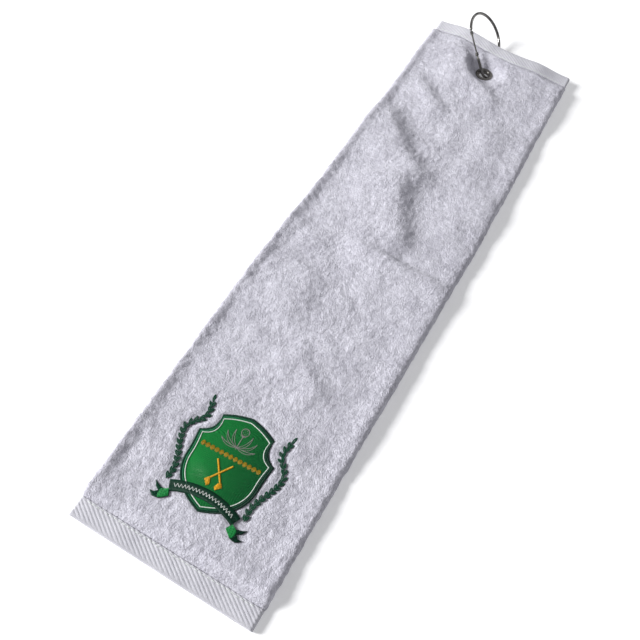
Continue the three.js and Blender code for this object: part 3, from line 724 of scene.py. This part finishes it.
def resample(points, spacing, closed=False):
    """Points at even spacing along a line, with the line's direction at each."""
    line = np.concatenate([points, points[:1]]) if closed else np.asarray(points, float)
    steps = np.hypot(*np.diff(line, axis=0).T)
    done = np.concatenate([[0], np.cumsum(steps)])
    count = max(2, round(done[-1] / spacing))
    at = np.linspace(0, done[-1], count + 1)
    at = at[:-1] if closed else at
    placed = np.stack([np.interp(at, done, line[:, k]) for k in (0, 1)], axis=1)
    near = 0.5 * spacing
    ahead = np.stack([np.interp(np.minimum(at + near, done[-1]), done, line[:, k]) for k in (0, 1)], axis=1)
    behind = np.stack([np.interp(np.maximum(at - near, 0), done, line[:, k]) for k in (0, 1)], axis=1)
    direction = ahead - behind
    return placed, direction / np.hypot(*direction.T)[:, None]


def satin_band(outer, inner, spacing=THREAD_PITCH):
    """Stitches side by side across the band between two closed outlines with matching points."""
    middle = (outer + inner) / 2
    steps = np.hypot(*np.diff(np.concatenate([middle, middle[:1]]), axis=0).T)
    done = np.concatenate([[0], np.cumsum(steps)]) / steps.sum()
    count = max(8, round(steps.sum() / spacing))
    along = np.arange(count) / count

    def at(line):
        loop = np.concatenate([line, line[:1]])
        return np.stack([np.interp(along, done, loop[:, k]) for k in (0, 1)], axis=1)

    return np.hstack([at(outer), at(inner)])


def fill_stitches(outline, length=4.2, slant=0.35, spacing=THREAD_PITCH):
    """Rows of stitches over the inside of an outline, offset like bricks."""
    cos, sin = math.cos(slant), math.sin(slant)
    turned = outline @ np.array([[cos, -sin], [sin, cos]])
    loop = np.concatenate([turned, turned[:1]])
    stitches = []
    rows = np.arange(turned[:, 1].min() + spacing / 2, turned[:, 1].max(), spacing)
    for k, level in enumerate(rows):
        a, b = loop[:-1], loop[1:]
        crosses = (a[:, 1] > level) != (b[:, 1] > level)
        a, b = a[crosses], b[crosses]
        xs = np.sort(a[:, 0] + (level - a[:, 1]) / (b[:, 1] - a[:, 1]) * (b[:, 0] - a[:, 0]))
        for low, high in zip(xs[::2], xs[1::2]):
            shift = length * ((k * 0.37) % 1)
            cuts = np.arange(low - shift, high, length)
            edges = np.concatenate([[low], cuts[(cuts > low + 1) & (cuts < high - 1)], [high]])
            stitches += [(p, level, q, level) for p, q in zip(edges[:-1], edges[1:])]
    stitches = np.array(stitches)
    back = np.array([[cos, sin], [-sin, cos]])
    return np.hstack([stitches[:, :2] @ back, stitches[:, 2:] @ back])


def run_stitches(line, width, spacing=THREAD_PITCH):
    """Narrow satin along an open line."""
    points, direction = resample(line, spacing)
    side = np.stack([direction[:, 1], -direction[:, 0]], axis=1) * width / 2
    return np.hstack([points - side, points + side])


def leaf_stitches(x, y, angle, length, width):
    """The stitches of a leaf, in two slanted halves that meet at its vein."""
    stitches = []
    for along in np.arange(0.04, 1.0, THREAD_PITCH * 0.95 / length):
        half = width / 2 * math.sin(math.pi * along ** 0.8) ** 0.8
        for side in (-1, 1):
            start = (along * length - 0.35, side * 0.08)
            stitches.append((*start, along * length + half * 0.55, side * half))
    stitches = np.array(stitches)
    cos, sin = math.cos(angle), math.sin(angle)
    turn = np.array([[cos, sin], [-sin, cos]])
    return np.hstack([stitches[:, :2] @ turn + (x, y), stitches[:, 2:] @ turn + (x, y)])


def smooth_line(points, steps=60):
    """A Catmull-Rom curve through points."""
    p = np.asarray(points, float)
    p = np.concatenate([[2 * p[0] - p[1]], p, [2 * p[-1] - p[-2]]])
    result = []
    for a, b, c, d in zip(p[:-3], p[1:-2], p[2:-1], p[3:]):
        for t in np.linspace(0, 1, steps // (len(p) - 3), endpoint=False):
            result.append(0.5 * (2 * b + (c - a) * t + (2 * a - 5 * b + 4 * c - d) * t * t
                                 + (3 * b - a - 3 * c + d) * t ** 3))
    return np.array(result + [p[-2]])


# The right laurel's stem, with the left one its mirror image
STEM = [
    (31.5, -30.5), (31, -22), (33.5, -13), (37.5, -4), (40.6, 6.5), (38.2, 13.8), (33.2, 19.8),
    (31.6, 25.5), (33.2, 34),
]
LEAF_STEP = 4.3
LEAF = {"turn": 0.45, "length": 5.1, "width": 2.3}

# The silver plumes' foot, then each right plume's bend and tip, and the dimples of the ball over them
PLUME_ROOT = (0, 12.5)
PLUMES = [((7, 15.5), (7, 24.5)), ((9.5, 13), (12, 21)), ((8.5, 10.2), (13.8, 14.8))]
DIMPLES = (
    (-1.2, 26.4), (0.4, 27), (1.5, 25.8), (-0.2, 25.2), (0.9, 24.2), (-1.5, 24.5), (-0.3, 23.6),
)

# The gold beads, and one club's shaft and head
BEADS = {"count": 13, "spacing": 3.8, "y": 4.4, "half_width": 1.6, "half_height": 2.1}
CLUB_SHAFT = [(-8, 0), (10.5, 0)]
CLUB_HEAD = [(-11, -1.2), (-8, -1.2), (-7.4, 1.4), (-9.4, 4.6), (-12, 4.2)]

# The ribbon, and the outlines of its right tail and of the bright fold on it
RIBBON = {"top": -23.1, "radius": 64.0, "height": 8.2, "half_angle": 0.46}
RIBBON_TAIL = np.array([
    (26.8, -37.4), (31.2, -37.4), (36.8, -34.8), (34.4, -38.6), (31.6, -40.2), (33.8, -42.6),
    (37, -42.6), (33.2, -45.6), (28.8, -45), (24.2, -41.4), (22.8, -40.2), (25.6, -35.2),
])
RIBBON_FOLD = np.array([
    (23.0, -40.4), (25.6, -35.4), (30.6, -38.4), (30.8, -42), (29.3, -44.8), (27, -43.8),
])


def mirrored(points):
    return np.asarray(points, float) * (-1, 1)


def placed(points, x, y, angle):
    cos, sin = math.cos(angle), math.sin(angle)
    return np.asarray(points, float) @ np.array([[cos, sin], [-sin, cos]]) + (x, y)


def laurel(side, stem):
    line = smooth_line(stem, 90)
    parts = [run_stitches(line, 0.8)]
    places, direction = resample(line, LEAF_STEP)
    for (x, y), (ux, uy) in zip(places[:-1], direction[:-1]):
        heading = math.atan2(uy, ux)
        for turn in (-LEAF["turn"], LEAF["turn"]):
            start = (x + 0.5 * ux, y + 0.5 * uy)
            parts.append(leaf_stitches(*start, heading + turn, LEAF["length"], LEAF["width"]))
    x, y = line[-1]
    parts.append(leaf_stitches(x, y, math.atan2(*(line[-1] - line[-4])[::-1]), 6.6, 2.5))
    embroider(f"laurel_{side}_threads", f"laurel_{side}", np.concatenate(parts), LEAF_GREEN,
              -0.2, 0.28)


def ribbon_band(drop, height, half_angle, steps=40):
    """The outer and inner lines of a band along the ribbon, drop below its top edge."""
    up = math.pi / 2
    radius = RIBBON["radius"] - drop
    centre = RIBBON["top"] - RIBBON["radius"]
    outer = arc(0, centre, radius, up + half_angle, up - half_angle, steps)
    inner = arc(0, centre, radius - height, up + half_angle, up - half_angle, steps)
    return outer, inner


def across(outer, inner, spacing=THREAD_PITCH):
    """Stitches across the band between two open lines with matching points."""
    middle = (outer + inner) / 2
    steps = np.hypot(*np.diff(middle, axis=0).T)
    done = np.concatenate([[0], np.cumsum(steps)])
    at = np.arange(0, done[-1], spacing)
    ends = [np.stack([np.interp(at, done, line[:, k]) for k in (0, 1)], axis=1) for line in (outer, inner)]
    return np.hstack(ends)


def split_stitches(stitches):
    """Each long stitch as two, meeting at a place that steps from one to the next."""
    share = (0.36 + 0.14 * (np.arange(len(stitches)) % 3))[:, None]
    meet = stitches[:, :2] * (1 - share) + stitches[:, 2:] * share
    return np.concatenate([np.hstack([stitches[:, :2], meet]), np.hstack([meet, stitches[:, 2:]])])


def crest_mask(x, y):
    """1 where the crest's stitches hold the pile down, falling to 0 beside them."""
    outline = shield_outline()
    radius = np.hypot(x, y)
    angle = np.arctan2(y, x)
    edge_angle = np.arctan2(outline[:, 1], outline[:, 0])
    order = np.argsort(edge_angle)
    edge = np.interp(angle, edge_angle[order], np.hypot(*outline.T)[order], period=2 * math.pi)
    mask = 1 - smoothstep(radius, edge - 0.3, edge + 1.4)
    outer, inner = ribbon_band(0, RIBBON["height"], RIBBON["half_angle"])
    stem = smooth_line(STEM)[::6]
    tail = np.array([(25, -40.5), (36, -40)])
    lines = [(stem, 3.2), (mirrored(stem), 3.2), (tail, 4), (mirrored(tail), 4)]
    lines.append((((outer + inner) / 2)[::4], 4.0))
    for line, reach in lines:
        distance = np.abs(along_line(x, y, line)[0])
        mask = np.maximum(mask, 1 - smoothstep(distance, reach, reach + 1.5))
    return mask


def make_shield():
    outline = shield_outline()
    field = inset(outline, 3.0)
    embroider("shield_field_threads", "shield_field", fill_stitches(field, 3.6), GREEN,
              -0.25, 0.12, plates=[(field, None)])
    outer = satin_band(outline, inset(outline, 1.9))
    embroider("shield_border_threads", "shield_border", outer, DARK_GREEN, -0.15,
              0.3, plates=[(inset(outline, 0.4), inset(outline, 3.0))])
    inner = satin_band(inset(outline, 1.7), inset(outline, 3.2))
    embroider("shield_border_inner_threads", None, inner, BORDER_GREEN, -0.12, 0.22)
    line = satin_band(inset(outline, 3.5), inset(outline, 4.25), 0.4)
    embroider("shield_line_threads", "shield_line", line, WHITE, 0.05, 0.2)


def plume_lines(bend, tip):
    """The two edges of one curved silver plume from the tee's foot to its tip."""
    u = np.linspace(0, 1, 14)[:, None]
    root, bend, tip = (np.array(point, float) for point in (PLUME_ROOT, bend, tip))
    middle = root * (1 - u) ** 2 + 2 * bend * u * (1 - u) + tip * u * u
    along = 2 * (bend - root) * (1 - u) + 2 * (tip - bend) * u
    along = along / np.hypot(*along.T)[:, None]
    side = np.stack([along[:, 1], -along[:, 0]], axis=1) * 0.85 * np.sin(math.pi * u ** 0.9)
    return [middle + side, middle - side]


def make_motifs():
    stitches = []
    for bend, tip in PLUMES:
        for line in plume_lines(bend, tip):
            stitches += [run_stitches(line, 0.5), run_stitches(mirrored(line), 0.5)]
    ball = arc(0, 25.4, 3.0, 0, 2 * math.pi, 30)
    stitches.append(run_stitches(ball, 0.7))
    for x, y in DIMPLES:
        stitches.append(np.array([(x - 0.35, y, x + 0.35, y + 0.1)]))
    for line in ([(0, 22), (0, 11)], [(-1.7, 22.2), (0, 21.4), (1.7, 22.2)]):
        stitches.append(run_stitches(line, 0.75))
    embroider("silver_ball_threads", "silver_ball_and_plumes", np.concatenate(stitches), SILVER,
              0.05, 0.14, 0.15)

    row = BEADS["y"]
    stitches = [run_stitches([(-23, row), (23, row)], 0.7)]
    for k in range(BEADS["count"]):
        x = np.arange(-1.4, 1.41, 0.35)
        half = BEADS["half_height"] * np.sqrt(1 - (x / BEADS["half_width"]) ** 2)
        centre = (k - BEADS["count"] // 2) * BEADS["spacing"]
        stitches.append(np.stack([centre + x, row - half, centre + x + 0.25, row + half], axis=1))
    embroider("gold_bead_threads", "gold_bead_row", np.concatenate(stitches), DARK_GOLD,
              0.05, 0.2, 0.18)

    stitches = []
    for mirror in (1, -1):
        turned = []
        for points in (CLUB_SHAFT, CLUB_HEAD):
            turned.append(placed(points, 0, 0, math.pi / 2 + 0.62) * (mirror, 1) + (-1, -9.5))
        stitches.append(run_stitches(turned[0], 1.5))
        stitches.append(fill_stitches(turned[1], 9.0, slant=mirror * 0.6))
    embroider("gold_club_threads", "gold_crossed_clubs", np.concatenate(stitches), GOLD,
              0.1, 0.32)


def make_ribbon():
    outer, inner = ribbon_band(0, RIBBON["height"], RIBBON["half_angle"])
    plate = np.concatenate([outer, inner[::-1]])[::-1]
    embroider("ribbon_banner_threads", "ribbon_banner", split_stitches(across(outer, inner)), DARK_GREEN,
              0.3, 0.16, plates=[(plate, None)])
    high, low = ribbon_band(2.6, 2.8, 0.41)
    corners = across(high, low, 1.3)
    corners = np.where(np.arange(len(corners))[:, None] % 2, corners[:, 2:], corners[:, :2])
    zigzag = np.hstack([corners[:-1], corners[1:]])
    embroider("ribbon_stitches", "ribbon_stitching", zigzag, WHITE, 0.62, 0.12, 0.18)
    for side, mirror in (("right", (1, 1)), ("left", (-1, 1))):
        tail, fold = RIBBON_TAIL * mirror, RIBBON_FOLD * mirror
        embroider(f"ribbon_tail_{side}_threads", f"ribbon_tail_{side}", fill_stitches(tail, 6.0),
                  DARK_GREEN, 0.0, 0.2, plates=[(tail, None)])
        embroider(f"ribbon_fold_{side}_threads", None, fill_stitches(fold, 7.0, slant=-0.4),
                  BRIGHT_GREEN, 0.22, 0.2)


def camera():
    """A camera above the towel's right, near its crest end, turned a little clockwise."""
    azimuth, elevation, roll = (math.radians(a) for a in (21.2, 60.3, 9.8))
    distance = 0.593
    target = Vector((-0.0042, -0.0798, 0.0))
    back = Vector((
        math.sin(azimuth) * math.cos(elevation),
        -math.cos(azimuth) * math.cos(elevation),
        math.sin(elevation),
    ))
    right = (-back).cross(Vector((0, 0, 1))).normalized()
    up = right.cross(-back)
    turned_right = right * math.cos(roll) + up * math.sin(roll)
    turned_up = -right * math.sin(roll) + up * math.cos(roll)
    data = bpy.data.cameras.new("camera")
    data.sensor_width = 36.0
    data.lens = 41.04
    data.clip_start, data.clip_end = 0.01, 20
    data.dof.use_dof = False
    rig = bpy.data.objects.new("camera", data)
    rotation = Matrix((turned_right, turned_up, back)).transposed().to_4x4()
    rig.matrix_world = Matrix.Translation(target + back * distance) @ rotation
    bpy.context.scene.collection.objects.link(rig)
    bpy.context.scene.camera = rig


def area_light(name, place, target, size, power):
    data = bpy.data.lights.new(name, "AREA")
    data.shape = "RECTANGLE"
    data.size, data.size_y = size
    data.energy = power
    lamp = bpy.data.objects.new(name, data)
    lamp.location = place
    lamp.rotation_euler = (Vector(target) - Vector(place)).to_track_quat("-Z", "Y").to_euler()
    bpy.context.scene.collection.objects.link(lamp)


def studio():
    """A pale floor and soft light from the left."""
    world = bpy.data.worlds.new("studio")
    world.use_nodes = True
    background = world.node_tree.nodes["Background"]
    background.inputs["Color"].default_value = (0.95, 0.96, 1.0, 1)
    background.inputs["Strength"].default_value = 0.30
    bpy.context.scene.world = world
    area_light("key", place=(-2.5, -1.15, 1.55), target=(0, 0, 0), size=(1.0, 1.0), power=165)
    area_light("back", place=(0.5, 1.4, 1.1), target=(0, 0.1, 0), size=(1.2, 0.6), power=4)
    mesh = bpy.data.meshes.new("floor")
    size = 6.0
    corners = [(-size, -size, 0), (size, -size, 0), (size, size, 0), (-size, size, 0)]
    mesh.from_pydata(corners, [], [(0, 1, 2, 3)])
    n = Nodes("floor")
    shade = n.ramp(n.noise(3, 2), [(0.3, (0.90, 0.90, 0.905)), (0.7, (0.92, 0.92, 0.925))])
    glow = {"Emission_Color": shade, "Emission_Strength": 0.22}
    mesh.materials.append(n.set(Base_Color=shade, Roughness=0.85, **glow))
    floor = bpy.data.objects.new("floor", mesh)
    floor.location.z = -0.0003
    bpy.context.scene.collection.objects.link(floor)
    bpy.context.scene.view_settings.view_transform = "Standard"


def hem_stitches(end, side):
    inner = HALF_LENGTH - HEM_HEIGHT + HEM_STITCH["from_edge"]
    starts = np.arange(-65, 62, HEM_STITCH["pitch"])
    y = side * inner + 0.12 * RNG.standard_normal(len(starts))
    ends = starts + HEM_STITCH["length"]
    rows = np.stack([starts, y, ends, y + 0.1 * RNG.standard_normal(len(starts))], axis=1)
    top = 2 * HEM["pitch"] + HEM["thickness"] + 0.1
    base = []
    for column in (0, 2):
        x, line = rows[:, column], rows[:, column + 1]
        dx, dy = sway(x, line)
        base.append(lift(x, line) + top + folds(x, line) * smoothstep(top, STACK * 0.25, STACK * 0.8))
        rows[:, column] += dx
        rows[:, column + 1] += dy
    base = np.stack(base, axis=1)
    points, faces = thread_points(rows[:, :2], rows[:, 2:], base, HEM_STITCH["radius"], 0.12)
    piece = new_piece(f"{end}_hem_stitches", points, faces, WHITE)
    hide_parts(f"{end}_hem_stitching")
    return piece


# Metal


def lathe(name, node, profile, centre, material, segments=96):
    angles = np.arange(segments) * 2 * math.pi / segments
    profile = np.asarray(profile)
    points = np.empty((segments, len(profile), 3))
    points[..., 0] = centre[0] + profile[None, :, 0] * np.cos(angles)[:, None]
    points[..., 1] = centre[1] + profile[None, :, 0] * np.sin(angles)[:, None]
    points[..., 2] = centre[2] + profile[None, :, 1]
    count = len(profile)
    faces = []
    for s in range(segments):
        a, b = s * count, ((s + 1) % segments) * count
        faces += [[a + i, b + i, b + (i + 1) % count, a + (i + 1) % count] for i in range(count)]
    piece = new_piece(name, points.reshape(-1, 3), faces, material)
    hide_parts(node)
    return piece


def make_eyelet():
    crest, straight = BORE + FLARE, HALF_HEIGHT - FLARE
    half = math.pi / 2
    outer = FLARE - SHEET_METAL
    top = HALF_HEIGHT
    clench = crest + 0.35
    profile = np.concatenate([
        arc(crest, straight, FLARE, math.pi, half, 10),
        arc(RIM - 0.35, top - 0.43, 0.36, half, -0.4, 6),
        arc(crest, straight, outer, half, math.pi, 6),
        arc(crest, -straight, outer, math.pi, 3 * half, 6),
        [(clench, -top + SHEET_METAL), (clench, -top)],
        arc(crest, -straight, FLARE, 3 * half, math.pi, 10),
    ])
    lathe("eyelet_ring", "eyelet", profile[::-1], EYELET, EYELET_METAL)
    low, high = clench + 0.3, RIM
    washer = [(low, -top), (high - 0.1, -top), (high, -top + 0.1), (high, -top + 0.3),
              (high - 0.1, -top + SHEET_METAL), (low, -top + SHEET_METAL)]
    lathe("eyelet_washer_ring", "eyelet_washer", washer, EYELET, EYELET_METAL)


def hook_matrix():
    """From the ring's own plane, x across and y along it, to the model's frame."""
    yaw, pitch, roll = HOOK_TURN
    turn = Matrix.Rotation(yaw, 3, "Z") @ Matrix.Rotation(pitch, 3, "X") @ Matrix.Rotation(roll, 3, "Y")
    seat = Vector((-HOOK_END * math.sin(SEAT_ANGLE), -HOOK_END * (1 - math.cos(SEAT_ANGLE)), 0))
    return np.array(turn), np.array(turn @ seat) + EYELET


def make_hook():
    """The bent wire, flattened at the gate's rivet and at its nose."""
    span = HOOK_LENGTH - HOOK_TOP - HOOK_END
    taper = math.asin((HOOK_TOP - HOOK_END) / span)
    top = HOOK_END + span
    side_x, side_y = -HOOK_END * math.cos(taper), HOOK_END - HOOK_END * math.sin(taper)
    pivot = np.array([side_x - (GATE_START - side_y) * math.tan(taper), GATE_START])
    nose_angle = math.pi - math.asin((GATE_END - top) / HOOK_TOP)
    nose = np.array([HOOK_TOP * math.cos(nose_angle), top + HOOK_TOP * math.sin(nose_angle)])
    along = (nose - pivot) / np.hypot(*(nose - pivot))
    line = np.concatenate([
        [nose - along * 2.0, nose + along * 0.2],
        arc(0, top, HOOK_TOP, nose_angle - 0.09, -taper, 90),
        arc(0, HOOK_END, HOOK_END, -taper, -math.pi + taper, 50),
        [pivot + along * step for step in (-4.0, -2.2, -0.6, 0.4, 1.1)],
    ])
    line, direction = resample(line, 0.55)
    count = len(line)
    steps = np.arange(count) * 0.55
    left = steps[-1] - steps
    at_tongue, at_eye = 1 - smoothstep(steps, 2.3, 4.2), 1 - smoothstep(left, 3.4, 5.2)
    thin = 1 - 0.69 * (at_tongue + at_eye)
    wide = 1 - 0.54 * at_tongue - 0.15 * at_eye
    cap = np.minimum(1, np.sqrt(np.clip(np.minimum(steps, left) + 0.02, 0, 1.2) / 1.2))
    sides = 24
    angle = np.arange(sides) * 2 * math.pi / sides
    side = np.stack([direction[:, 1], -direction[:, 0]], axis=1)
    points = np.empty((count, sides, 3))
    across_wire = WIRE_RADIUS * (wide * cap)[:, None] * np.cos(angle)[None, :]
    points[..., :2] = line[:, None, :] + side[:, None, :] * across_wire[..., None]
    points[..., 2] = WIRE_RADIUS * (thin * np.maximum(cap, 0.6))[:, None] * np.sin(angle)[None, :]
    turn, place = hook_matrix()
    vertices = points.reshape(-1, 3) @ turn.T + place
    faces = grid_faces(count, sides)
    faces += [list(range(sides))[::-1], list(range((count - 1) * sides, count * sides))]
    wire = new_piece("hook_ring", vertices, faces, HOOK_METAL, body="hook")
    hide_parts("hook_wire")


def dress_cad_nodes():
    """Finishes for the CAD nodes that stay, with softer edges on the metal."""
    finishes = {
        "gate": HOOK_METAL,
        "gate_rivet": HOOK_METAL,
        "embroidery_backing": BACKING,
    }
    for name, material in finishes.items():
        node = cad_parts[name]
        for slot in node.material_slots:
            slot.material = material
    for name in ("gate", "gate_rivet"):
        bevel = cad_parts[name].modifiers.new("soft_edges", "BEVEL")
        bevel.width = 0.12 * MM
        bevel.segments = 2


camera()
studio()
main_cloth()
make_shield()
make_motifs()
make_ribbon()
laurel("left", mirrored(STEM))
laurel("right", STEM)
make_eyelet()
make_hook()
dress_cad_nodes()
